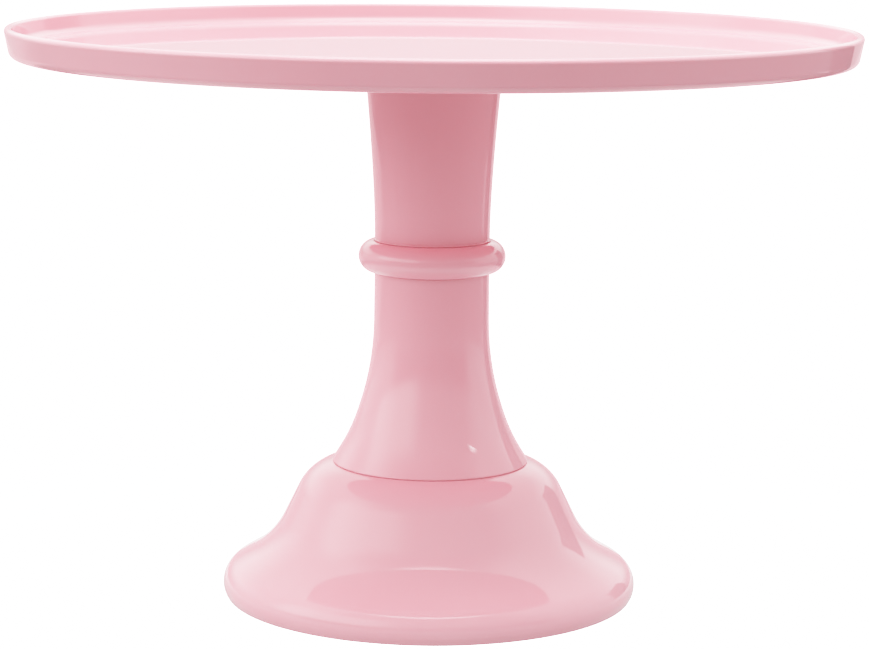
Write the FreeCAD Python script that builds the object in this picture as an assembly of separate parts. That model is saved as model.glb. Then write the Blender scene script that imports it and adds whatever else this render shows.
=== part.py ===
import FreeCAD, Part
import math
import os

# Footed cake stand, in millimetres. The Z axis is the axis of the stand and z = 0 is the table.
# Five moulded shells are stacked on a threaded rod: foot bell, lower stem, bead ring, upper stem
# and plate. Two nuts clamp the pedestal together, and the plate screws down onto the rod's end.

# ---- Whole stand ----
plate_radius = 150.0        # widest point of the plate's rim
stand_height = 204.2        # table to the top of the plate's rim
foot_radius = 74.5          # widest point of the foot's rolled rim
fit_gap = 0.3               # clearance of a spigot in its socket

# ---- Plate ----
rim_depth = 10.7            # plate's underside to the top of its rim
floor_thickness = 3.7
rim_wall = 2.9              # across the top of the rim
rim_lean = 11.0             # degrees by which the rim leans outward
rim_round = 1.4             # rounding of both top edges
rim_corner = 3.0            # rounding below the outer wall
floor_fillet = 3.0          # inside, between the floor and the rim
plate_spigot_depth = 5.0    # ring under the plate that sits in the stem's mouth
plate_spigot_wall = 2.5
boss_wall = 3.9             # centre boss round the insert
insert_room = 1.0           # free depth above the insert

# ---- Foot bell: corners of its outline, each rounded by its own radius ----
bell_height = 48.5
bell_top_inset = 0.3        # in from the lower stem's hem to where the bell starts to fall
shoulder_radius = 44.1
shoulder_drop = 2.7         # below the bell's top
shoulder_round = 17.3
ankle_radius = 57.2
ankle_height = 19.3
ankle_round = 33.9
foot_rim_height = 9.1
foot_rim_round = 8.3
foot_edge_height = 2.2
foot_edge_round = 7.2
ring_inset = 1.3            # flat ring that stands on the table, in from the widest point
ring_width = 2.9
ring_round = 0.5
bell_wall = 3.5
bell_spigot_height = 4.0    # ring on the bell's top that centres the lower stem
bell_spigot_wall = 3.5

# ---- Lower stem: corners of its outline, heights above the top of the foot bell ----
lower_stem_height = 69.0
column_radius = 20.5
column_edge_round = 0.4
knee_swell = 0.25           # the column is this much thicker at its knee
knee_height = 34.9
knee_round = 103.0
cone_radius = 28.9
cone_height = 10.7
cone_round = 62.0
hem_radius = 35.5
hem_round = 0.5
hem_wall = 6.9              # thickened wall round the bell's spigot
stem_wall = 3.3
deck_thickness = 4.0        # closed end of each stem, which the rod passes through
stem_spigot_radius = 14.0   # tube on the lower stem's deck that centres the bead ring
stem_spigot_wall = 3.5
socket_extra = 1.0          # depth of a socket beyond the spigot in it

# ---- Bead ring ----
bead_step = 0.2             # the half-round starts this far outside the column
bead_round = 5.6

# ---- Upper stem ----
neck_step = 0.05            # the neck is this much thicker than the column
mouth_radius = 24.7
mouth_wall = 2.9
flare_share = 0.33          # share of the stem's height at which the flare turns outward
lip_round = 0.35            # half-round lip where the stem stands on the bead ring
locating_depth = 2.0        # how far the lower stem's spigot reaches into the upper stem

# ---- Gasket ----
gasket_thickness = 1.0
gasket_inset = 0.3          # in from the mouth's outer edge

# ---- Fasteners: M8 rod, nuts, washers and insert ----
rod_radius = 4.0
rod_pitch = 1.25
rod_chamfer = 0.8
rod_hole_gap = 0.3
thread_gap = 0.05           # radial clearance of the insert on the rod
turns_to_release = 10       # thread turns that hold the plate
rod_below_nut = 2.0
nut_across_flats = 13.0
nut_height = 6.5
nut_bevel = 30.0            # degrees, on the corners of each nut
washer_radius = 8.0
washer_hole_gap = 0.2
washer_thickness = 1.6
foot_washer_radius = 15.0
foot_washer_thickness = 2.0
lock_washer_radius = 7.4
lock_washer_thickness = 2.0
lock_washer_slot = 1.4
lock_washer_slant = 30.0    # degrees
insert_wall = 1.6
insert_length = 14.0
insert_flange_step = 2.0
insert_flange_thickness = 1.2
insert_chamfer = 0.6

# ---- Levels and radii where pieces meet ----
bead_bottom_z = bell_height + lower_stem_height
bead_top_z = bead_bottom_z + 2 * bead_round
plate_under_z = stand_height - rim_depth
floor_z = plate_under_z + floor_thickness
mouth_z = plate_under_z - gasket_thickness
plate_spigot_z = plate_under_z - plate_spigot_depth
web_z = bell_height - bell_wall
lower_deck_z = bead_bottom_z - deck_thickness
stem_spigot_top_z = bead_top_z + locating_depth
upper_deck_z = stem_spigot_top_z + fit_gap
upper_deck_top_z = upper_deck_z + deck_thickness
boss_z = plate_under_z - insert_length - insert_room
insert_z = boss_z - insert_flange_thickness
rod_top_z = insert_z + turns_to_release * rod_pitch
foot_washer_z = web_z - foot_washer_thickness
lock_washer_z = foot_washer_z - lock_washer_thickness
foot_nut_z = lock_washer_z - nut_height
stem_nut_z = upper_deck_top_z + washer_thickness
rod_hole_radius = rod_radius + rod_hole_gap
washer_hole_radius = rod_radius + washer_hole_gap
mouth_socket_radius = mouth_radius - mouth_wall
stem_socket_radius = stem_spigot_radius + fit_gap
bell_socket_radius = hem_radius - hem_wall
bell_spigot_radius = bell_socket_radius - fit_gap
neck_radius = column_radius + neck_step
bead_centre_radius = column_radius + bead_step
insert_radius = rod_radius + insert_wall

CENTRE = FreeCAD.Vector(0, 0, 0)
UP = FreeCAD.Vector(0, 0, 1)
SMALLEST_EDGE = 1e-6


def at(radius, z):
    return FreeCAD.Vector(radius, 0, z)


def add_line(edges, start, end):
    if start.distanceToPoint(end) > SMALLEST_EDGE:
        edges.append(Part.LineSegment(start, end).toShape())


def rounded_edges(corners):
    """Edges through corners (radius, z, rounding): straight runs joined by tangent arcs."""
    edges = []
    start = at(*corners[0][:2])
    for before, corner, after in zip(corners, corners[1:], corners[2:]):
        here = at(*corner[:2])
        rounding = corner[2]
        if rounding == 0:
            add_line(edges, start, here)
            start = here
            continue
        back = (at(*before[:2]) - here).normalize()
        ahead = (at(*after[:2]) - here).normalize()
        half_angle = back.getAngle(ahead) / 2
        run = rounding / math.tan(half_angle)
        inward = (back + ahead).normalize()
        arc_start = here + back * run
        arc_middle = here + inward * (rounding / math.sin(half_angle) - rounding)
        arc_end = here + ahead * run
        add_line(edges, start, arc_start)
        edges.append(Part.Arc(arc_start, arc_middle, arc_end).toShape())
        start = arc_end
    add_line(edges, start, at(*corners[-1][:2]))
    return edges


def spin(edges):
    """Solid of revolution of a closed outline about the stand's axis."""
    face = Part.Face(Part.Wire(Part.__sortEdges__(edges)))
    solid = face.revolve(CENTRE, UP, 360)
    if solid.Volume < 0:
        solid.reverse()
    return solid


def spin_corners(corners):
    """Solid of revolution of a closed outline of corners. The first corner stays sharp."""
    return spin(rounded_edges(corners + [corners[0]]))


def tube(inner_radius, outer_radius, bottom_z, top_z):
    return spin_corners(
        [
            (inner_radius, bottom_z, 0),
            (outer_radius, bottom_z, 0),
            (outer_radius, top_z, 0),
            (inner_radius, top_z, 0),
        ]
    )


def disc(radius, bottom_z, top_z):
    return Part.makeCylinder(radius, top_z - bottom_z, at(0, bottom_z), UP)


def offset_corners(corners, wall):
    """Corners one wall thickness under an outline that runs outward and down, its ends left out."""
    runs = []
    for (r0, z0, _), (r1, z1, _) in zip(corners, corners[1:]):
        length = math.hypot(r1 - r0, z1 - z0)
        along_r = (r1 - r0) / length
        along_z = (z1 - z0) / length
        runs.append((r0 + along_z * wall, z0 - along_r * wall, along_r, along_z))
    inner = []
    for (r0, z0, u0, w0), (r1, z1, u1, w1), corner in zip(runs, runs[1:], corners[1:]):
        turn = u0 * w1 - w0 * u1
        step = ((r1 - r0) * w1 - (z1 - z0) * u1) / turn
        rounding = corner[2] - wall if turn < 0 else corner[2] + wall
        inner.append((r0 + u0 * step, z0 + w0 * step, max(rounding, 0)))
    return inner


def make_plate():
    """Round tray with a leaning rim. A spigot ring and a boss with a blind bore hang under it."""
    lean = math.radians(rim_lean)
    # The rounded edge is widest a little below the rim's top, so its sharp corner lies further out.
    top_radius = plate_radius + rim_round * ((1 + math.sin(lean)) / math.cos(lean) - 1)
    under_radius = top_radius - rim_depth * math.tan(lean)
    inner_top_radius = top_radius - rim_wall
    floor_radius = inner_top_radius - (rim_depth - floor_thickness) * math.tan(lean)
    spigot_radius = mouth_socket_radius - fit_gap
    return spin_corners(
        [
            (0, floor_z, 0),
            (floor_radius, floor_z, floor_fillet),
            (inner_top_radius, stand_height, rim_round),
            (top_radius, stand_height, rim_round),
            (under_radius, plate_under_z, rim_corner),
            (spigot_radius, plate_under_z, 0),
            (spigot_radius, plate_spigot_z, 0),
            (spigot_radius - plate_spigot_wall, plate_spigot_z, 0),
            (spigot_radius - plate_spigot_wall, plate_under_z, 0),
            (insert_radius + boss_wall, plate_under_z, 0),
            (insert_radius + boss_wall, boss_z, 0),
            (insert_radius, boss_z, 0),
            (insert_radius, plate_under_z, 0),
            (0, plate_under_z, 0),
        ]
    )


def make_foot_bell():
    """Hollow bell with a web across its top, which carries a spigot ring and the rod's hole."""
    outer = [
        (hem_radius - bell_top_inset, bell_height, 0),
        (shoulder_radius, bell_height - shoulder_drop, shoulder_round),
        (ankle_radius, ankle_height, ankle_round),
        (foot_radius, foot_rim_height, foot_rim_round),
        (foot_radius, foot_edge_height, foot_edge_round),
    ]
    inner = offset_corners([(0, bell_height, 0)] + outer, bell_wall)
    ring_radius = foot_radius - ring_inset
    spigot_top_z = bell_height + bell_spigot_height
    return spin_corners(
        [
            (rod_hole_radius, web_z, 0),
            (rod_hole_radius, bell_height, 0),
            (bell_spigot_radius - bell_spigot_wall, bell_height, 0),
            (bell_spigot_radius - bell_spigot_wall, spigot_top_z, 0),
            (bell_spigot_radius, spigot_top_z, 0),
            (bell_spigot_radius, bell_height, 0),
        ]
        + outer
        + [(ring_radius, 0, ring_round), (ring_radius - ring_width, 0, ring_round)]
        + inner[::-1]
    )


def make_stem_lower():
    """Column that opens downward into a cone. Its hem stands on the bell around the bell's spigot."""
    hem_z = bell_height
    outer = [
        (column_radius, bead_bottom_z, column_edge_round),
        (column_radius + knee_swell, hem_z + knee_height, knee_round),
        (cone_radius, hem_z + cone_height, cone_round),
        (hem_radius, hem_z, hem_round),
    ]
    solid = spin_corners([(0, hem_z, 0), (0, bead_bottom_z, 0)] + outer)
    socket_top_z = hem_z + bell_spigot_height + socket_extra
    inner = offset_corners(outer, stem_wall)
    hollow = spin_corners(
        [(0, hem_z, 0), (0, bead_bottom_z, 0), (column_radius - stem_wall, bead_bottom_z, 0)]
        + inner
        + [(hem_radius - stem_wall, hem_z, 0)]
    ).common(disc(plate_radius, socket_top_z, lower_deck_z))
    solid = solid.cut(hollow)
    solid = solid.cut(disc(bell_socket_radius, hem_z, socket_top_z))
    solid = solid.cut(disc(rod_hole_radius, lower_deck_z, bead_bottom_z))
    spigot = tube(
        stem_spigot_radius - stem_spigot_wall, stem_spigot_radius, bead_bottom_z, stem_spigot_top_z
    )
    return solid.fuse(spigot).removeSplitter()


def make_bead_ring():
    """Half-round collar with a plain bore."""
    edges = rounded_edges(
        [
            (bead_centre_radius, bead_top_z, 0),
            (stem_socket_radius, bead_top_z, 0),
            (stem_socket_radius, bead_bottom_z, 0),
            (bead_centre_radius, bead_bottom_z, 0),
        ]
    )
    half_round = Part.Arc(
        at(bead_centre_radius, bead_bottom_z),
        at(bead_centre_radius + bead_round, bead_bottom_z + bead_round),
        at(bead_centre_radius, bead_top_z),
    )
    return spin(edges + [half_round.toShape()])


def make_flare(shrink):
    """Solid inside the upper stem's flared outline, drawn in by a wall thickness."""
    start_z = bead_top_z + 2 * lip_round
    bend_z = start_z + flare_share * (mouth_z - start_z)
    curve = Part.BezierCurve()
    curve.setPoles(
        [
            at(neck_radius - shrink, start_z),
            at(neck_radius - shrink, bend_z),
            at(mouth_radius - shrink, mouth_z),
        ]
    )
    edges = rounded_edges(
        [
            (mouth_radius - shrink, mouth_z, 0),
            (0, mouth_z, 0),
            (0, start_z, 0),
            (neck_radius - shrink, start_z, 0),
        ]
    )
    return spin(edges + [curve.toShape()])


def make_stem_upper():
    """Trumpet that widens upward. Its mouth holds the plate's spigot and its deck takes the nut."""
    lip_top_z = bead_top_z + 2 * lip_round
    lip = spin_corners(
        [
            (0, bead_top_z, 0),
            (neck_radius + lip_round, bead_top_z, lip_round),
            (neck_radius + lip_round, lip_top_z, lip_round),
            (0, lip_top_z, 0),
        ]
    )
    solid = lip.fuse(make_flare(0))
    socket_z = plate_spigot_z - socket_extra
    solid = solid.cut(make_flare(stem_wall).common(disc(plate_radius, upper_deck_top_z, socket_z)))
    solid = solid.cut(disc(mouth_socket_radius, socket_z, mouth_z))
    solid = solid.cut(disc(stem_socket_radius, bead_top_z, upper_deck_z))
    solid = solid.cut(disc(rod_hole_radius, upper_deck_z, upper_deck_top_z))
    return solid.removeSplitter()


def make_gasket():
    return tube(mouth_socket_radius, mouth_radius - gasket_inset, mouth_z, plate_under_z)


def make_rod():
    """Threaded rod, drawn as its plain outside diameter with chamfered ends."""
    bottom_z = foot_nut_z - rod_below_nut
    return spin_corners(
        [
            (0, bottom_z, 0),
            (rod_radius - rod_chamfer, bottom_z, 0),
            (rod_radius, bottom_z + rod_chamfer, 0),
            (rod_radius, rod_top_z - rod_chamfer, 0),
            (rod_radius - rod_chamfer, rod_top_z, 0),
            (0, rod_top_z, 0),
        ]
    )


def make_nut(bottom_z):
    """Hexagon nut, its corners bevelled at both ends, its thread tight on the rod."""
    corner_radius = nut_across_flats / math.sqrt(3)
    flat_radius = nut_across_flats / 2
    bevel = (corner_radius - flat_radius) * math.tan(math.radians(nut_bevel))
    angles = [math.radians(60 * turn) for turn in range(7)]
    outline = Part.makePolygon(
        [
            FreeCAD.Vector(corner_radius * math.cos(a), corner_radius * math.sin(a), bottom_z)
            for a in angles
        ]
    )
    prism = Part.Face(outline).extrude(UP * nut_height)
    top_z = bottom_z + nut_height
    envelope = spin_corners(
        [
            (rod_radius, bottom_z, 0),
            (flat_radius, bottom_z, 0),
            (corner_radius, bottom_z + bevel, 0),
            (corner_radius, top_z - bevel, 0),
            (flat_radius, top_z, 0),
            (rod_radius, top_z, 0),
        ]
    )
    return prism.common(envelope)


def make_lock_washer():
    """Spring washer with one slanted slot."""
    top_z = lock_washer_z + lock_washer_thickness
    ring = tube(washer_hole_radius, lock_washer_radius, lock_washer_z, top_z)
    reach = 3 * lock_washer_thickness
    slot = Part.makeBox(lock_washer_radius + 1, lock_washer_slot, reach)
    slot.translate(FreeCAD.Vector(0, -lock_washer_slot / 2, -reach / 2))
    slot.rotate(CENTRE, FreeCAD.Vector(1, 0, 0), lock_washer_slant)
    slot.translate(at(0, lock_washer_z + lock_washer_thickness / 2))
    return ring.cut(slot)


def make_insert():
    """Brass threaded insert with a flange under the boss."""
    bore = rod_radius + thread_gap
    top_z = boss_z + insert_length
    return spin_corners(
        [
            (bore + insert_chamfer, insert_z, 0),
            (insert_radius + insert_flange_step, insert_z, 0),
            (insert_radius + insert_flange_step, boss_z, 0),
            (insert_radius, boss_z, 0),
            (insert_radius, top_z, 0),
            (bore, top_z, 0),
            (bore, insert_z + insert_chamfer, 0),
        ]
    )


def washer(radius, bottom_z, thickness):
    return tube(washer_hole_radius, radius, bottom_z, bottom_z + thickness)


parts = {
    "plate": make_plate(),
    "plate_insert": make_insert(),
    "mouth_gasket": make_gasket(),
    "stem_upper": make_stem_upper(),
    "bead_ring": make_bead_ring(),
    "stem_lower": make_stem_lower(),
    "foot_bell": make_foot_bell(),
    "tie_rod": make_rod(),
    "stem_washer": washer(washer_radius, upper_deck_top_z, washer_thickness),
    "stem_nut": make_nut(stem_nut_z),
    "foot_washer": washer(foot_washer_radius, foot_washer_z, foot_washer_thickness),
    "lock_washer": make_lock_washer(),
    "foot_nut": make_nut(foot_nut_z),
}

os.makedirs("parts", exist_ok=True)
for name, shape in parts.items():
    shape.exportStep(f"parts/{name}.step")
    print(name, "solids", len(shape.Solids), "valid", shape.isValid(), "mm3", round(shape.Volume))
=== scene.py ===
import math

import bpy
from mathutils import Matrix, Vector


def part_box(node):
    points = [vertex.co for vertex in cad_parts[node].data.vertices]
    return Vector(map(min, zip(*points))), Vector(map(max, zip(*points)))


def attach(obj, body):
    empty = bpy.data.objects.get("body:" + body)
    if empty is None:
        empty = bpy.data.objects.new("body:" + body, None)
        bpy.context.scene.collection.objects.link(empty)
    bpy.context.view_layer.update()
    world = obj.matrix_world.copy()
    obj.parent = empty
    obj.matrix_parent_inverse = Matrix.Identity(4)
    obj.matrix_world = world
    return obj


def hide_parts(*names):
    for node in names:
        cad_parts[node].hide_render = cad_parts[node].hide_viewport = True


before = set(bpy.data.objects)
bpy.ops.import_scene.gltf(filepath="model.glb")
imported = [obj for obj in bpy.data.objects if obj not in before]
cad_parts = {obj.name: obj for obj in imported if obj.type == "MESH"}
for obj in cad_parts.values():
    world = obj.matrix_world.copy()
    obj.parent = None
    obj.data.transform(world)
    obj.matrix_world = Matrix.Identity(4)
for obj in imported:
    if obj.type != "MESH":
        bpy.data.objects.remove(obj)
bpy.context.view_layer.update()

# Looks of the footed cake stand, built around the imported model.
# Outlines are worked out in millimetres and turned into metres when a mesh is made.

MM = 0.001
SEGMENTS = 360               # facets round the stand's axis
ARC_STEP = math.radians(6)   # longest step round a small rounding of an outline
SWEEP_STEP = math.radians(3)  # the same along a wide sweep
WIDE_SWEEP = 10.0            # roundings from this radius are wide sweeps
SUPPORT = 0.3                # loops this far from the ends of a straight run keep it flat
LONGEST_RUN = 9.0            # straight runs are divided into steps no longer than this
TIGHT_TURN = math.radians(15)  # a run is held flat beside one that turns off more than this
SHORT_SHARE = 0.3            # and beside one that is shorter than this share of it
TINY = 1e-4                  # points nearer than this are one point


def low(node):
    return [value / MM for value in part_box(node)[0]]


def high(node):
    return [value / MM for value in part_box(node)[1]]


# ---- Levels and radii read from the imported model's parts, mm ----
plate_radius = high("plate")[0]
rim_top_z = high("plate")[2]
boss_z = low("plate")[2]
plate_under_z = high("mouth_gasket")[2]
mouth_z = low("mouth_gasket")[2]
mouth_radius = high("stem_upper")[0]
bead_top_z = high("bead_ring")[2]
bead_low_z = low("bead_ring")[2]
bead_outer_radius = high("bead_ring")[0]
bell_top_z = low("stem_lower")[2]
stem_spigot_top_z = high("stem_lower")[2]
bell_spigot_top_z = high("foot_bell")[2]
foot_radius = high("foot_bell")[0]
web_z = high("foot_washer")[2]
upper_deck_top_z = low("stem_washer")[2]
rod_radius = high("tie_rod")[0]

# ---- Plate, mm and degrees ----
floor_thickness = 3.7
rim_wall = 2.9
rim_lean = 11.0
rim_round = 1.4
rim_corner = 3.0
floor_fillet = 3.0
plate_spigot_wall = 2.5
boss_radius = 9.5
insert_flange_step = 2.0

# ---- Foot bell: corners of its outline, mm ----
bell_start_radius = 35.2
shoulder_radius = 44.1
shoulder_z = 45.8
shoulder_round = 17.3
ankle_radius = 57.2
ankle_z = 19.3
ankle_round = 33.9
foot_rim_z = 9.1
foot_rim_round = 8.3
foot_edge_z = 2.2
foot_edge_round = 7.2
ring_outer_radius = 73.2
ring_inner_radius = 70.3
ring_round = 0.5
bell_wall = 3.5
bell_spigot_radius = 28.8
bell_spigot_bore = 25.3

# ---- Lower stem: corners of its outline, heights above the bell's top, mm ----
column_radius = 20.5
column_edge_round = 0.4
knee_radius = 20.75
knee_height = 34.9
knee_round = 103.0
cone_radius = 28.9
cone_height = 10.7
cone_round = 62.0
hem_radius = 35.5
hem_round = 0.5
stem_wall = 3.3
stem_spigot_radius = 14.0
stem_spigot_bore = 10.5
socket_extra = 1.0           # depth of a socket beyond the spigot in it

# ---- Bead ring and upper stem, mm ----
bead_centre_radius = 20.7
neck_radius = 20.55
flare_share = 0.33           # share of the stem's height at which the flare turns outward
lip_round = 0.35
mouth_wall = 2.9
mouth_socket_depth = 5.0

# ---- Shared and small, mm ----
spigot_gap = 0.3
rod_hole_radius = 4.3
deck_thickness = 4.0
thread_pitch = 1.25
thread_depth = 0.65
washer_gap = 0.2             # radial clearance of a washer on the rod
small_round = 0.3            # broken edges of moulded and machined pieces


# ================================================================ mesh tools

def rounded(corners):
    """Points along corners (radius, z, rounding), straight runs joined by tangent arcs."""
    points = [corners[0][:2]]
    for before, corner, after in zip(corners, corners[1:], corners[2:]):
        here = Vector(corner[:2])
        rounding = corner[2]
        if rounding == 0:
            points.append(tuple(here))
            continue
        back = (Vector(before[:2]) - here).normalized()
        ahead = (Vector(after[:2]) - here).normalized()
        half_angle = back.angle(ahead) / 2
        run = rounding / math.tan(half_angle)
        centre = here + (back + ahead).normalized() * (rounding / math.sin(half_angle))
        start = here + back * run - centre
        turn = start.angle_signed(here + ahead * run - centre)
        longest = SWEEP_STEP if rounding >= WIDE_SWEEP else ARC_STEP
        steps = max(3, math.ceil(abs(turn) / longest))
        for step in range(steps + 1):
            spoke = start.copy()
            spoke.rotate(Matrix.Rotation(-turn * step / steps, 2))
            points.append(tuple(centre + spoke))
    points.append(corners[-1][:2])
    return points


def bezier(start, bend, end, steps=24):
    """Points of a quadratic curve."""
    points = []
    for step in range(steps + 1):
        t = step / steps
        point = Vector(start) * (1 - t) ** 2 + Vector(bend) * 2 * t * (1 - t) + Vector(end) * t ** 2
        points.append(tuple(point))
    return points


def supported(points):
    """The same outline without doubled points, its runs divided, and held flat beside tight corners."""
    places = [Vector(points[0])]
    for point in points[1:]:
        if (Vector(point) - places[-1]).length > TINY:
            places.append(Vector(point))
    runs = [end - start for start, end in zip(places, places[1:])]

    def hold(run, beside):
        tight = beside.length < SHORT_SHARE * run.length or run.angle(beside) > TIGHT_TURN
        return SUPPORT if tight else 0

    done = [tuple(places[0])]
    for before, start, run, after in zip(runs[-1:] + runs, places, runs, runs[1:] + runs[:1]):
        if run.length > 4 * SUPPORT:
            first = hold(run, before)
            inner = run.length - first - hold(run, after)
            steps = math.ceil(inner / LONGEST_RUN)
            stops = [first + inner * step / steps for step in range(steps + 1)]
            inside = [stop for stop in stops if 0 < stop < run.length - TINY]
            done += [tuple(start + run * (stop / run.length)) for stop in inside]
        done.append(tuple(start + run))
    return done


def new_object(name, vertices, faces):
    mesh = bpy.data.meshes.new(name)
    mesh.from_pydata([tuple(c * MM for c in vertex) for vertex in vertices], [], faces)
    mesh.validate()
    obj = bpy.data.objects.new(name, mesh)
    bpy.context.scene.collection.objects.link(obj)
    return obj


def smooth(obj, sharp_degrees):
    """Smooth shading, with edges sharper than the angle kept crisp."""
    obj.data.polygons.foreach_set("use_smooth", [True] * len(obj.data.polygons))
    obj.data.set_sharp_from_angle(angle=math.radians(sharp_degrees))
    return obj


def signed_area(points):
    return sum(a[0] * b[1] - b[0] * a[1] for a, b in zip(points, points[1:] + points[:1])) / 2


def lathe(name, outline, segments=SEGMENTS, radius_at=None, sharp_degrees=40):
    """Spins a closed outline of (radius, z). radius_at(radius, z, angle) may vary the radius."""
    points = supported(outline + [outline[0]])[:-1]
    if signed_area(points) < 0:
        points.reverse()
    vertices = []
    rings = []
    for radius, z in points:
        if radius < TINY:
            rings.append([len(vertices)] * segments)
            vertices.append((0, 0, z))
            continue
        ring = []
        for segment in range(segments):
            angle = 2 * math.pi * segment / segments
            here = radius_at(radius, z, angle) if radius_at else radius
            ring.append(len(vertices))
            vertices.append((here * math.cos(angle), here * math.sin(angle), z))
        rings.append(ring)
    faces = []
    for ring, above in zip(rings, rings[1:] + rings[:1]):
        for segment in range(segments):
            after = (segment + 1) % segments
            face = [ring[segment], ring[after], above[after], above[segment]]
            face = [v for i, v in enumerate(face) if v != face[i - 1]]
            if len(face) > 2:
                faces.append(face)
    return smooth(new_object(name, vertices, faces), sharp_degrees)


def offset_corners(corners, wall):
    """Corners one wall thickness under an outline that runs outward and down, its ends left out."""
    runs = []
    for (r0, z0, _), (r1, z1, _) in zip(corners, corners[1:]):
        length = math.hypot(r1 - r0, z1 - z0)
        along_r = (r1 - r0) / length
        along_z = (z1 - z0) / length
        runs.append((r0 + along_z * wall, z0 - along_r * wall, along_r, along_z))
    inner = []
    for (r0, z0, u0, w0), (r1, z1, u1, w1), corner in zip(runs, runs[1:], corners[1:]):
        turn = u0 * w1 - w0 * u1
        step = ((r1 - r0) * w1 - (z1 - z0) * u1) / turn
        rounding = corner[2] - wall if turn < 0 else corner[2] + wall
        inner.append((r0 + u0 * step, z0 + w0 * step, max(rounding, 0)))
    return inner


def place(piece, node, body, slot, material):
    """Gives a piece its material and its body, and hides the CAD node that it stands for."""
    piece.data.materials.clear()
    piece.data.materials.append(material)
    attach(piece, body)
    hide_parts(node)


# ================================================================ materials

class NodeTree:
    """Short names for building a node tree."""

    def __init__(self, tree):
        self.tree = tree

    def add(self, kind, inputs=None, **settings):
        node = self.tree.nodes.new(kind)
        for key, value in settings.items():
            setattr(node, key, value)
        for key, value in (inputs or {}).items():
            self.put(node.inputs[key], value)
        return node

    def put(self, socket, value):
        if isinstance(value, bpy.types.NodeSocket):
            self.tree.links.new(value, socket)
        else:
            socket.default_value = value

    def math(self, operation, first, second=0.0, third=0.0):
        node = self.add("ShaderNodeMath", {0: first, 1: second, 2: third}, operation=operation)
        return node.outputs[0]

    def mix(self, factor, first, second):
        node = self.add("ShaderNodeMix", data_type="RGBA")
        self.put(node.inputs[0], factor)
        self.put(node.inputs[6], first)
        self.put(node.inputs[7], second)
        return node.outputs[2]


class Nodes(NodeTree):
    """One material's node tree, built round its Principled shader."""

    def __init__(self, name):
        self.material = bpy.data.materials.new(name)
        self.material.use_nodes = True
        super().__init__(self.material.node_tree)
        self.shader = self.tree.nodes["Principled BSDF"]
        self.place = self.add("ShaderNodeTexCoord").outputs["Object"]

    def set(self, **inputs):
        for key, value in inputs.items():
            self.put(self.shader.inputs[key.replace("_", " ")], value)

    def noise(self, scale, detail=2.0, roughness=0.5, where=None, distortion=0.0):
        inputs = {
            "Vector": where or self.place,
            "Scale": scale,
            "Detail": detail,
            "Roughness": roughness,
            "Distortion": distortion,
        }
        return self.add("ShaderNodeTexNoise", inputs).outputs["Fac"]

    def spread(self, value, from_low, from_high, to_low, to_high):
        """Maps a value from one range to another and holds it at the ends."""
        inputs = {0: value, 1: from_low, 2: from_high, 3: to_low, 4: to_high}
        return self.add("ShaderNodeMapRange", inputs, clamp=True).outputs[0]

    def stretched(self, x, y, z):
        node = self.add("ShaderNodeMapping", {"Vector": self.place, "Scale": (x, y, z)})
        return node.outputs[0]

    def bump(self, height, distance, strength=1.0, under=None):
        inputs = {"Height": height, "Distance": distance, "Strength": strength}
        node = self.add("ShaderNodeBump", inputs)
        if under:
            self.put(node.inputs["Normal"], under)
        return node.outputs[0]


PINK = (0.860, 0.378, 0.432, 1.0)
PINK_DEEP = (0.845, 0.358, 0.412, 1.0)
PINK_PALE = (0.885, 0.450, 0.500, 1.0)


def melamine(name, wave=0.02, wave_scale=22.0, scuffed_below=0.0, scratched_above=None):
    """Pressed melamine: even pale pink, faint clouding and flecks, a wavy high-gloss skin."""
    n = Nodes(name)
    clouds = n.spread(n.noise(14.0, 3.0), 0.35, 0.65, 0.0, 1.0)
    flecks = n.spread(n.noise(2600.0, 1.0), 0.62, 0.78, 0.0, 0.35)
    colour = n.mix(clouds, PINK_DEEP, PINK)
    colour = n.mix(flecks, colour, PINK_PALE)
    smears = n.noise(45.0, 4.0, 0.6, distortion=0.8)
    roughness = n.spread(smears, 0.35, 0.75, 0.02, 0.04)
    height_z = n.add("ShaderNodeSeparateXYZ", {0: n.place}).outputs[2]
    if scuffed_below:
        # The ring that slides on the table is rubbed matt and a little paler.
        grain = n.noise(900.0, 3.0)
        edge = n.math("MULTIPLY", grain, 2 * scuffed_below)
        rubbed = n.spread(height_z, n.math("MULTIPLY", edge, 0.2), edge, 1.0, 0.0)
        roughness = n.math("MULTIPLY_ADD", rubbed, 0.35, roughness)
        colour = n.mix(n.math("MULTIPLY", rubbed, 0.35), colour, PINK_PALE)
    waves = n.noise(wave_scale, 1.0, 0.4)
    normal = n.bump(waves, wave * MM)
    if scratched_above is not None:
        # Fine serving marks on the plate's floor, in two directions.
        on_floor = n.spread(height_z, scratched_above * MM, (scratched_above + 0.4) * MM, 0.0, 1.0)
        across = n.noise(1.0, 2.0, 0.5, n.stretched(2600.0, 26.0, 1.0), 0.6)
        along = n.noise(1.0, 2.0, 0.5, n.stretched(30.0, 2400.0, 1.0), 0.6)
        hairs = n.math("MAXIMUM", n.spread(across, 0.70, 0.78, 0, 1), n.spread(along, 0.71, 0.79, 0, 1))
        hairs = n.math("MULTIPLY", hairs, on_floor)
        roughness = n.math("MULTIPLY_ADD", hairs, 0.10, roughness)
        normal = n.bump(hairs, -0.002 * MM, under=normal)
    peel = n.noise(700.0, 2.0)
    normal = n.bump(peel, 0.0006 * MM, under=normal)
    n.set(Base_Color=colour, Roughness=roughness, Normal=normal, IOR=1.48)
    n.set(Subsurface_Weight=0.08, Subsurface_Radius=(1.0, 0.35, 0.30), Subsurface_Scale=2.5 * MM)
    return n.material


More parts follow.
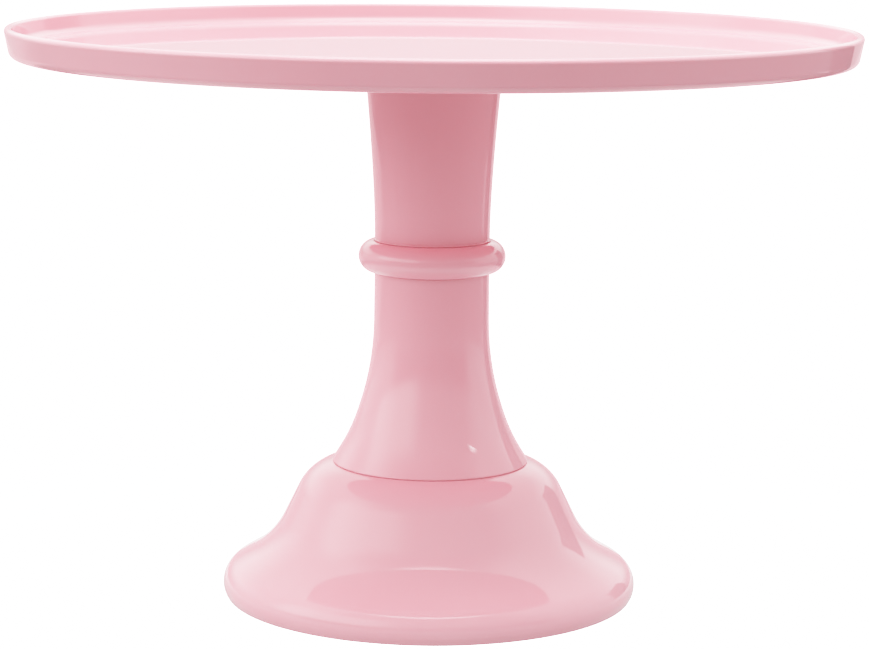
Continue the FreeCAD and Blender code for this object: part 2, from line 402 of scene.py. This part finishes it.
def zinc_steel(name):
    """Bright zinc plating: cool grey, drawn marks round the axis and cloudy passivation."""
    n = Nodes(name)
    clouds = n.spread(n.noise(160.0, 3.0), 0.35, 0.7, 0.0, 1.0)
    colour = n.mix(clouds, (0.60, 0.62, 0.64, 1), (0.72, 0.72, 0.70, 1))
    drawn = n.noise(1.0, 2.0, 0.6, n.stretched(90.0, 90.0, 4200.0))
    roughness = n.spread(drawn, 0.3, 0.7, 0.24, 0.40)
    n.set(Base_Color=colour, Roughness=roughness, Normal=n.bump(drawn, 0.004 * MM), Metallic=1.0)
    return n.material


def brass(name):
    """Turned brass: warm, with fine lathe marks and dulled patches."""
    n = Nodes(name)
    patches = n.spread(n.noise(220.0, 4.0), 0.4, 0.7, 0.0, 1.0)
    colour = n.mix(patches, (0.76, 0.56, 0.25, 1), (0.62, 0.44, 0.20, 1))
    turned = n.noise(1.0, 2.0, 0.5, n.stretched(60.0, 60.0, 6000.0))
    roughness = n.spread(turned, 0.3, 0.7, 0.20, 0.34)
    n.set(Base_Color=colour, Roughness=roughness, Normal=n.bump(turned, 0.003 * MM), Metallic=1.0)
    return n.material


def silicone(name):
    """Milky silicone rubber: soft sheen, fine pitting."""
    n = Nodes(name)
    haze = n.spread(n.noise(80.0, 3.0), 0.35, 0.65, 0.0, 1.0)
    colour = n.mix(haze, (0.74, 0.72, 0.70, 1), (0.82, 0.80, 0.78, 1))
    pits = n.noise(1500.0, 2.0)
    roughness = n.spread(pits, 0.3, 0.7, 0.42, 0.58)
    n.set(Base_Color=colour, Roughness=roughness, Normal=n.bump(pits, 0.01 * MM), IOR=1.41)
    n.set(Subsurface_Weight=0.3, Subsurface_Radius=(1.0, 0.9, 0.8), Subsurface_Scale=1.0 * MM)
    return n.material


# ================================================================ moulded shells

def make_plate():
    """Round tray with a leaning rim, a spigot ring and an insert boss underneath."""
    lean = math.radians(rim_lean)
    floor_z = plate_under_z + floor_thickness
    top_radius = plate_radius + rim_round * ((1 + math.sin(lean)) / math.cos(lean) - 1)
    under_radius = top_radius - (rim_top_z - plate_under_z) * math.tan(lean)
    inner_top_radius = top_radius - rim_wall
    floor_radius = inner_top_radius - (rim_top_z - floor_z) * math.tan(lean)
    spigot_radius = mouth_radius - mouth_wall - spigot_gap
    spigot_z = plate_under_z - mouth_socket_depth
    insert_radius = high("plate_insert")[0] - insert_flange_step
    corners = [
        (0, floor_z, 0),
        (floor_radius, floor_z, floor_fillet),
        (inner_top_radius, rim_top_z, rim_round),
        (top_radius, rim_top_z, rim_round),
        (under_radius, plate_under_z, rim_corner),
        (spigot_radius, plate_under_z, 0),
        (spigot_radius, spigot_z, small_round),
        (spigot_radius - plate_spigot_wall, spigot_z, small_round),
        (spigot_radius - plate_spigot_wall, plate_under_z, small_round),
        (boss_radius, plate_under_z, small_round),
        (boss_radius, boss_z, small_round),
        (insert_radius, boss_z, 0),
        (insert_radius, plate_under_z, 0),
        (0, plate_under_z, 0),
    ]
    return lathe("plate_shell", rounded(corners))


def make_foot_bell():
    """Hollow bell: its rolled rim stands on the table, its top carries a spigot ring."""
    outer = [
        (bell_start_radius, bell_top_z, 0),
        (shoulder_radius, shoulder_z, shoulder_round),
        (ankle_radius, ankle_z, ankle_round),
        (foot_radius, foot_rim_z, foot_rim_round),
        (foot_radius, foot_edge_z, foot_edge_round),
    ]
    inner = offset_corners([(0, bell_top_z, 0)] + outer, bell_wall)
    corners = [
        (rod_hole_radius, web_z, 0),
        (rod_hole_radius, bell_top_z, 0),
        (bell_spigot_bore, bell_top_z, 0),
        (bell_spigot_bore, bell_spigot_top_z, small_round),
        (bell_spigot_radius, bell_spigot_top_z, small_round),
        (bell_spigot_radius, bell_top_z, 0),
    ]
    ring = [(ring_outer_radius, 0, ring_round), (ring_inner_radius, 0, ring_round)]
    corners += outer + ring + inner[::-1]
    return lathe("foot_bell_shell", rounded(corners + [corners[0]])[:-1])


def make_stem_lower():
    """Column that opens into a cone with its own rounded hem."""
    outer = [
        (column_radius, bead_low_z, column_edge_round),
        (knee_radius, bell_top_z + knee_height, knee_round),
        (cone_radius, bell_top_z + cone_height, cone_round),
        (hem_radius, bell_top_z, hem_round),
    ]
    socket_top_z = bell_spigot_top_z + socket_extra
    socket_radius = bell_spigot_radius + spigot_gap
    inner_points = rounded(
        [(column_radius - stem_wall, bead_low_z - deck_thickness, 0)]
        + offset_corners(outer, stem_wall)
        + [(hem_radius - stem_wall, bell_top_z, 0)]
    )
    inner_points = [point for point in inner_points if point[1] > socket_top_z + 0.1]
    last = Vector(inner_points[-1])
    slope = (last - Vector(inner_points[-2])).normalized()
    meeting = last + slope * ((socket_top_z - last.y) / slope.y)
    start = (stem_spigot_radius, bead_low_z, 0)
    outline = rounded([start] + outer + [(socket_radius, bell_top_z, 0)])
    outline += [(socket_radius, socket_top_z), tuple(meeting)] + inner_points[::-1]
    outline += rounded(
        [
            (rod_hole_radius, bead_low_z - deck_thickness, 0),
            (rod_hole_radius, bead_low_z, 0),
            (stem_spigot_bore, bead_low_z, 0),
            (stem_spigot_bore, stem_spigot_top_z, small_round),
            (stem_spigot_radius, stem_spigot_top_z, small_round),
            start,
        ]
    )[:-1]
    return lathe("stem_lower_shell", outline)


def make_bead_ring():
    """Half-round collar between the two stems."""
    bore = stem_spigot_radius + spigot_gap
    middle_z = (bead_top_z + bead_low_z) / 2
    half_height = (bead_top_z - bead_low_z) / 2
    bulge = bead_outer_radius - bead_centre_radius
    outline = [(bore, bead_low_z)]
    steps = 48
    for step in range(steps + 1):
        angle = math.pi * (step / steps - 0.5)
        outline.append(
            (bead_centre_radius + bulge * math.cos(angle), middle_z + half_height * math.sin(angle))
        )
    outline.append((bore, bead_top_z))
    return lathe("bead_shell", outline)


def make_stem_upper():
    """Trumpet that widens upward from a small lip on the bead ring."""
    lip_top_z = bead_top_z + 2 * lip_round
    bend_z = lip_top_z + flare_share * (mouth_z - lip_top_z)
    socket_z = plate_under_z - mouth_socket_depth - socket_extra
    socket_radius = mouth_radius - mouth_wall
    locating_radius = stem_spigot_radius + spigot_gap
    deck_z = upper_deck_top_z - deck_thickness
    widening = 0.05              # the flare still widens by this much at its top
    margin = 0.5                 # its inner side keeps this far from the deck and the socket

    def flare(shrink):
        neck = neck_radius - shrink
        return bezier((neck, lip_top_z), (neck, bend_z), (mouth_radius - shrink, mouth_z))

    outline = rounded(
        [
            (locating_radius, bead_top_z, 0),
            (neck_radius + lip_round, bead_top_z, lip_round),
            (neck_radius + lip_round, lip_top_z, lip_round),
            (neck_radius, lip_top_z, 0),
        ]
    )[:-1]
    outline += flare(0)[:-1]
    outline += rounded(
        [
            (mouth_radius - widening, mouth_z - 0.8, 0),
            (mouth_radius, mouth_z, small_round),
            (socket_radius, mouth_z, small_round),
            (socket_radius, socket_z, 0),
        ]
    )[1:]
    room = (upper_deck_top_z + margin, socket_z - margin)
    inner = [point for point in flare(stem_wall)[::-1] if room[0] < point[1] < room[1]]
    outline += [(inner[0][0] + widening, socket_z)] + inner + [(inner[-1][0], upper_deck_top_z)]
    outline += [
        (rod_hole_radius, upper_deck_top_z),
        (rod_hole_radius, deck_z),
        (locating_radius, deck_z),
    ]
    return lathe("stem_upper_shell", outline)


# ================================================================ hardware

def make_gasket():
    """Flat silicone ring with soft edges."""
    inner = mouth_radius - mouth_wall
    outer = high("mouth_gasket")[0]
    corners = [
        ((inner + outer) / 2, mouth_z, 0),
        (outer, mouth_z, small_round),
        (outer, plate_under_z, small_round),
        (inner, plate_under_z, small_round),
        (inner, mouth_z, small_round),
    ]
    return lathe("gasket_ring", rounded(corners + [corners[0]])[:-1])


def make_rod():
    """Rod with a rolled helical thread along its whole length."""
    bottom_z = low("tie_rod")[2]
    top_z = high("tie_rod")[2]
    rows_per_pitch = 6
    rows = math.ceil((top_z - bottom_z) / thread_pitch * rows_per_pitch)
    chamfer = 0.8
    flank_slope = 1.6            # of the thread's flanks, and how much of a pitch stays a flat crest
    crest_share = 0.3

    def thread_radius(radius, z, angle):
        if radius < rod_radius - chamfer:
            return radius
        turn = ((z - bottom_z) / thread_pitch - angle / (2 * math.pi)) % 1
        wave = min(1, max(0, flank_slope * abs(2 * turn - 1) - crest_share))
        end = min(z - bottom_z, top_z - z)
        crest = min(rod_radius, rod_radius - chamfer + end)
        return min(rod_radius - thread_depth * wave, crest)

    outline = [(0, bottom_z)]
    outline += [(rod_radius, bottom_z + (top_z - bottom_z) * row / rows) for row in range(rows + 1)]
    outline += [(0, top_z)]
    return lathe("threaded_rod", outline, segments=30, radius_at=thread_radius, sharp_degrees=50)


def hex_radius(flat_radius, angle):
    """Distance from the axis to the side of a hexagon."""
    sixth = math.pi / 3
    return flat_radius / math.cos((angle + sixth / 2) % sixth - sixth / 2)


def make_nut(name, node):
    """Hexagon nut: bevelled corners and a countersunk bore."""
    bottom_z = low(node)[2]
    top_z = high(node)[2]
    flat_radius = high(node)[1]
    corner_radius = flat_radius * 2 / math.sqrt(3)
    bevel = (corner_radius - flat_radius) * math.tan(math.radians(30))
    bore = rod_radius + 0.02
    sink = 0.5                   # countersink of the bore
    inset = 0.1                  # the flat faces end this far inside the flats

    def side(radius, z, angle):
        if radius <= flat_radius + 1e-6:
            return radius
        end = min(z - bottom_z, top_z - z)
        cone = flat_radius - inset + (corner_radius - flat_radius + inset) * min(1, end / bevel)
        return min(hex_radius(flat_radius, angle), cone)

    outline = [(bore, bottom_z + sink), (bore + sink, bottom_z), (flat_radius - inset, bottom_z)]
    outline += [(corner_radius, bottom_z + bevel * step / 4) for step in range(1, 5)]
    outline += [(corner_radius, top_z - bevel * step / 4) for step in range(4, 0, -1)]
    outline += [(flat_radius - inset, top_z), (bore + sink, top_z), (bore, top_z - sink)]
    return lathe(name, outline, segments=120, radius_at=side, sharp_degrees=25)


def make_washer(name, node):
    """Flat washer with broken edges."""
    bottom_z = low(node)[2]
    top_z = high(node)[2]
    outer = high(node)[0]
    inner = rod_radius + washer_gap
    broken_edge = 0.2
    stamped_edge = 0.35
    corners = [
        ((inner + outer) / 2, bottom_z, 0),
        (outer, bottom_z, broken_edge),
        (outer, top_z, stamped_edge),
        (inner, top_z, broken_edge),
        (inner, bottom_z, broken_edge),
    ]
    return lathe(name, rounded(corners + [corners[0]])[:-1], segments=120)


def make_insert():
    """Threaded brass insert: flange, two knurled bands and a groove between them."""
    flange_radius = high("plate_insert")[0]
    body_radius = flange_radius - insert_flange_step
    bottom_z = low("plate_insert")[2]
    top_z = high("plate_insert")[2]
    bore = rod_radius + 0.05
    groove_z = (boss_z + top_z) / 2
    groove_half = 0.6            # half the groove's width at its bottom, and where it opens
    groove_open_half = 0.9
    groove_depth = 0.5
    bore_chamfer = 0.6
    plain_end = 0.6              # no knurl this close to the body's ends
    knurl_depth = 0.3
    teeth = 40

    def knurled(radius, z, angle):
        if radius < body_radius - 0.01 or z < boss_z + plain_end or z > top_z - plain_end:
            return radius
        wave = abs(2 * ((angle * teeth / (2 * math.pi)) % 1) - 1)
        return radius - knurl_depth * wave

    corners = [
        (bore, bottom_z + bore_chamfer, 0),
        (bore + bore_chamfer, bottom_z, 0),
        (flange_radius, bottom_z, 0.25),
        (flange_radius, boss_z, 0.1),
        (body_radius, boss_z, 0),
        (body_radius, groove_z - groove_open_half, 0),
        (body_radius - groove_depth, groove_z - groove_half, 0),
        (body_radius - groove_depth, groove_z + groove_half, 0),
        (body_radius, groove_z + groove_open_half, 0),
        (body_radius, top_z - 0.5, 0),
        (body_radius - 0.4, top_z, 0),
        (bore, top_z, 0),
    ]
    return lathe("insert_body", rounded(corners), segments=160, radius_at=knurled, sharp_degrees=30)


def make_lock_washer():
    """Spring washer: one coil cut by a slanted slot, its ends square."""
    bottom_z = low("lock_washer")[2]
    top_z = high("lock_washer")[2]
    outer = high("lock_washer")[0]
    inner = rod_radius + washer_gap
    slot_half = 0.8
    slant = math.tan(math.radians(30))
    steps = 96
    section = [(inner, bottom_z), (outer, bottom_z), (outer, top_z), (inner, top_z)]
    middle_z = (bottom_z + top_z) / 2
    vertices = []
    for step in range(steps + 1):
        for radius, z in section:
            lean = (z - middle_z) * -slant
            start = (slot_half + lean) / radius
            end = 2 * math.pi + (lean - slot_half) / radius
            angle = start + (end - start) * step / steps
            vertices.append((radius * math.cos(angle), radius * math.sin(angle), z))
    faces = [[3, 2, 1, 0], [4 * steps + i for i in range(4)]]
    for step in range(steps):
        for i in range(4):
            j = (i + 1) % 4
            a, b = 4 * step, 4 * (step + 1)
            faces.append([a + i, a + j, b + j, b + i])
    return smooth(new_object("spring_washer", vertices, faces), 30)


# ================================================================ stage, light and camera

CAMERA_PLACE = Vector((0.0, -1.0, 0.2676))
CAMERA_PITCH = 0.1679        # radians below the horizon
CAMERA_YAW = 0.0011
CAMERA_ROLL = 0.0105
CAMERA_LENS = 117.3          # millimetres on a 36 mm sensor


def make_camera():
    data = bpy.data.cameras.new("camera")
    data.lens = CAMERA_LENS
    data.sensor_width = 36.0
    data.clip_start = 0.01
    data.clip_end = 50.0
    camera = bpy.data.objects.new("camera", data)
    bpy.context.scene.collection.objects.link(camera)
    camera.rotation_mode = "QUATERNION"
    turn = Matrix.Rotation(-CAMERA_YAW, 3, "Z")
    tilt = Matrix.Rotation(math.pi / 2 - CAMERA_PITCH, 3, "X")
    roll = Matrix.Rotation(CAMERA_ROLL, 3, "Z")
    camera.rotation_quaternion = (turn @ tilt @ roll).to_quaternion()
    camera.location = CAMERA_PLACE
    bpy.context.scene.camera = camera


class LightNodes(NodeTree):
    """The node tree of a light pattern, in the world or on the floor."""

    def __init__(self, tree):
        super().__init__(tree)
        tree.nodes.clear()

    def times(self, first, *others):
        for other in others:
            first = self.math("MULTIPLY", first, other)
        return first

    def plus(self, first, *others):
        for other in others:
            first = self.math("ADD", first, other)
        return first

    def without(self, level, share):
        """The level with this share of it taken away."""
        return self.times(level, self.math("SUBTRACT", 1.0, share))

    def ramp(self, value, start, end, before, after):
        """Goes smoothly from one level to another while the value goes from start to end."""
        inputs = {0: value, 1: start, 2: end, 3: before, 4: after}
        return self.add("ShaderNodeMapRange", inputs, interpolation_type="SMOOTHSTEP").outputs[0]

    def band(self, value, start, end, soft):
        """One between start and end, nothing outside, with edges this soft."""
        risen = self.ramp(value, start - soft, start + soft, 0.0, 1.0)
        return self.times(risen, self.ramp(value, end - soft, end + soft, 1.0, 0.0))

    def around(self, x, y):
        """Angle in degrees from straight behind the stand, positive to the right."""
        return self.math("DEGREES", self.math("ARCTAN2", x, y))

    def blush(self, share):
        """White light that turns pale pink, like light thrown back by the stand, by this share."""
        return self.mix(share, WHITE, BLUSH)

    def seen_or(self, seen_level, level):
        """One level where the camera looks straight at it, another for the light it gives."""
        seen = self.add("ShaderNodeLightPath").outputs["Is Camera Ray"]
        return self.ramp(seen, 0.0, 1.0, level, seen_level)


WHITE_LEVEL = 7.0            # what the camera sees of the floor and the room: pure white
WHITE = (1.0, 1.0, 1.0, 1.0)
BLUSH = (1.0, 0.66, 0.70, 1.0)
FLAG_START = 36.5            # the black flag stands at the right, between these turns, in degrees
FLAG_END = 57.0
FLAG_EDGE = 0.6
FLAG_DEPTH = 0.8             # share of the light behind it that it takes away


def make_floor():
    """White floor: a pool of light round the stand, dim beyond it, with a lit strip further back."""
    half = 4.0
    data = bpy.data.meshes.new("floor")
    corners = [(-half, -half, 0), (half, -half, 0), (half, half, 0), (-half, half, 0)]
    data.from_pydata(corners, [], [[0, 1, 2, 3]])
    floor = bpy.data.objects.new("floor", data)
    bpy.context.scene.collection.objects.link(floor)
    material = bpy.data.materials.new("floor_white")
    material.use_nodes = True
    n = LightNodes(material.node_tree)
    where = n.add("ShaderNodeTexCoord").outputs["Object"]
    x, y, _ = n.add("ShaderNodeSeparateXYZ", {0: where}).outputs
    distance = n.add("ShaderNodeVectorMath", {0: where}, operation="LENGTH").outputs["Value"]
    turn = n.around(x, y)
    angle = n.math("ABSOLUTE", turn)
    # The pool of light is dimmer under the foot, beyond about 0.3 m and towards the camera.
    under_foot = n.ramp(distance, 0.08, 0.14, 1.1, 2.0)
    edge = n.ramp(distance, 0.28, 0.38, 1.0, 0.2)
    pool = n.times(under_foot, edge, n.ramp(angle, 100.0, 140.0, 1.0, 0.80))
    # The strip lies behind the pool, and the floor is pale again far out, except in front.
    lit = n.times(n.band(x, -0.78, 0.78, 0.01), n.ramp(y, 0.30, 0.45, 0.0, 1.0))
    strip = n.times(lit, 1.35)
    far = n.times(n.ramp(distance, 0.9, 1.3, 0.0, 1.0), n.ramp(angle, 90.0, 120.0, 1.0, 0.15))
    level = n.plus(pool, n.math("MAXIMUM", strip, far))
    flag_reach = n.ramp(distance, 0.28, 0.32, 0.0, FLAG_DEPTH)
    level = n.without(level, n.times(n.band(turn, FLAG_START, FLAG_END, FLAG_EDGE), flag_reach))
    near_behind = n.times(n.band(angle, -60.0, 60.0, 20.0), n.ramp(distance, 0.15, 0.25, 0.0, 1.0))
    colour = n.blush(n.math("MAXIMUM", lit, near_behind))
    emission = n.add("ShaderNodeEmission", {"Color": colour, "Strength": n.seen_or(WHITE_LEVEL, level)})
    n.add("ShaderNodeOutputMaterial", {0: emission.outputs[0]})
    data.materials.append(material)


def make_world():
    """Studio room: pale round the stand, a key panel front left, a black flag right, light overhead."""
    world = bpy.data.worlds.new("studio")
    bpy.context.scene.world = world
    world.use_nodes = True
    n = LightNodes(world.node_tree)
    direction = n.add("ShaderNodeTexCoord").outputs["Generated"]
    x, y, z = n.add("ShaderNodeSeparateXYZ", {0: direction}).outputs
    turn = n.around(x, y)
    angle = n.math("ABSOLUTE", turn)
    up = n.math("DEGREES", n.math("ARCSINE", z))

    # Walls: bright behind and beside the stand, nearly dark behind the camera.
    low_wall = n.times(n.ramp(angle, 42.0, 44.0, 1.45, 1.60), n.ramp(angle, 98.0, 118.0, 1.0, 0.07))
    glow = n.times(n.band(turn, -60.0, 60.0, 10.0), n.ramp(up, 22.0, 34.0, 0.6, 0.0))
    high_wall = n.plus(n.ramp(up, 20.0, 60.0, 2.1, 2.8), glow)
    high_wall = n.times(high_wall, n.ramp(angle, 95.0, 130.0, 1.0, 0.45))
    height = n.ramp(up, 7.0, 16.0, 0.0, 1.0)
    walls = n.plus(n.without(low_wall, height), n.times(high_wall, height))
    flag_reach = n.ramp(up, 19.0, 21.0, FLAG_DEPTH, 0.0)
    walls = n.without(walls, n.times(n.band(turn, FLAG_START, FLAG_END, FLAG_EDGE), flag_reach))
    # Key panel, front left.
    key_side = n.times(n.ramp(turn, -170.0, -140.0, 0.0, 1.0), n.ramp(turn, -95.0, -75.0, 1.0, 0.0))
    key_up = n.times(n.ramp(up, 7.0, 12.0, 0.0, 1.0), n.ramp(up, 30.0, 50.0, 1.0, 0.0))
    key = n.times(key_side, key_up, 2.6)
    # The ceiling is dimmer above the camera. One large round light hangs over the plate.
    front_top = n.times(n.ramp(up, 40.0, 50.0, 0.0, 1.0), n.ramp(angle, 125.0, 145.0, 0.0, 0.4))
    overhead_centre = {0: direction, 1: (0.0, -0.12, 0.993)}
    to_overhead = n.add("ShaderNodeVectorMath", overhead_centre, operation="DOT_PRODUCT").outputs["Value"]
    overhead = n.ramp(n.math("DEGREES", n.math("ARCCOSINE", to_overhead)), 20.0, 27.0, 7.2, 0.0)
    level = n.plus(n.math("SUBTRACT", n.plus(walls, key), front_top), overhead)
    colour = n.blush(n.times(n.band(turn, -44.0, 37.0, 1.0), n.ramp(up, 4.0, 9.0, 1.0, 0.0)))
    background = n.add("ShaderNodeBackground", {"Color": colour, "Strength": n.seen_or(WHITE_LEVEL, level)})
    n.add("ShaderNodeOutputWorld", {0: background.outputs[0]})


WINDOW_PLACE = Vector((0.33, -0.16, 0.28))
WINDOW_AIM = Vector((0.01, -0.02, 0.085))
WINDOW_WIDTH = 0.17
WINDOW_HEIGHT = 0.02
WINDOW_LEVEL = 22.0          # brightness in the middle of its beam
WINDOW_HALF_BEAM = math.radians(7)


def make_window():
    """Small lamp with a narrow beam. It only shows as a highlight on the lower stem's cone."""
    gain = math.tan(WINDOW_HALF_BEAM) / (math.tan(WINDOW_HALF_BEAM) - WINDOW_HALF_BEAM)
    data = bpy.data.lights.new("window", "AREA")
    data.shape = "RECTANGLE"
    data.size = WINDOW_WIDTH
    data.size_y = WINDOW_HEIGHT
    data.spread = 2 * WINDOW_HALF_BEAM
    data.energy = WINDOW_LEVEL * math.pi * WINDOW_WIDTH * WINDOW_HEIGHT / gain
    lamp = bpy.data.objects.new("window", data)
    bpy.context.scene.collection.objects.link(lamp)
    lamp.location = WINDOW_PLACE
    lamp.rotation_mode = "QUATERNION"
    lamp.rotation_quaternion = (WINDOW_AIM - WINDOW_PLACE).to_track_quat("-Z", "Y")
    lamp.visible_camera = False
    lamp.visible_diffuse = False


def set_tone():
    """A camera's soft shoulder: bright tones are compressed towards white."""
    view = bpy.context.scene.view_settings
    view.view_transform = "Standard"
    view.use_curve_mapping = True
    mapping = view.curve_mapping
    mapping.use_clip = True
    mapping.clip_max_x = WHITE_LEVEL
    mapping.clip_max_y = 1.0
    curve = mapping.curves[3]
    straight = 0.3           # tones up to here are kept
    room = 1 - straight
    places = [0.0, 0.15, straight, 0.45, 0.6, 0.8, 1.0, 1.3, 1.7, 2.2, 3.0, 4.2, WHITE_LEVEL]
    for place in places[1:-1]:
        curve.points.new(place, 0)
    for point, place in zip(curve.points, places):
        past = max(0, place - straight)
        point.location = (place, place if past == 0 else straight + room * (1 - math.exp(-past / room)))
    curve.points[-1].location = (WHITE_LEVEL, 1.0)
    mapping.update()


# ================================================================ the stand

make_camera()
make_floor()
make_world()
make_window()
set_tone()

plate_skin = melamine("melamine_plate", scratched_above=plate_under_z + floor_thickness - 0.4)
place(make_plate(), "plate", "plate", "melamine", plate_skin)
place(make_stem_upper(), "stem_upper", "pedestal", "melamine", melamine("melamine_stem_upper"))
bead_skin = melamine("melamine_bead", wave=0.03, wave_scale=150.0)
place(make_bead_ring(), "bead_ring", "pedestal", "melamine", bead_skin)
place(make_stem_lower(), "stem_lower", "pedestal", "melamine", melamine("melamine_stem_lower"))
foot_skin = melamine("melamine_foot", scuffed_below=0.6 * MM)
place(make_foot_bell(), "foot_bell", "pedestal", "melamine", foot_skin)

place(make_gasket(), "mouth_gasket", "gasket", "gasket_silicone", silicone("silicone_gasket"))
place(make_insert(), "plate_insert", "plate", "insert_brass", brass("brass_insert"))
steel = zinc_steel("zinc_steel")
place(make_rod(), "tie_rod", "pedestal", "zinc_steel", steel)
place(make_washer("flat_washer_stem", "stem_washer"), "stem_washer", "pedestal", "zinc_steel", steel)
place(make_washer("flat_washer_foot", "foot_washer"), "foot_washer", "pedestal", "zinc_steel", steel)
place(make_nut("hex_nut_stem", "stem_nut"), "stem_nut", "pedestal", "zinc_steel", steel)
place(make_nut("hex_nut_foot", "foot_nut"), "foot_nut", "pedestal", "zinc_steel", steel)
place(make_lock_washer(), "lock_washer", "pedestal", "zinc_steel", steel)
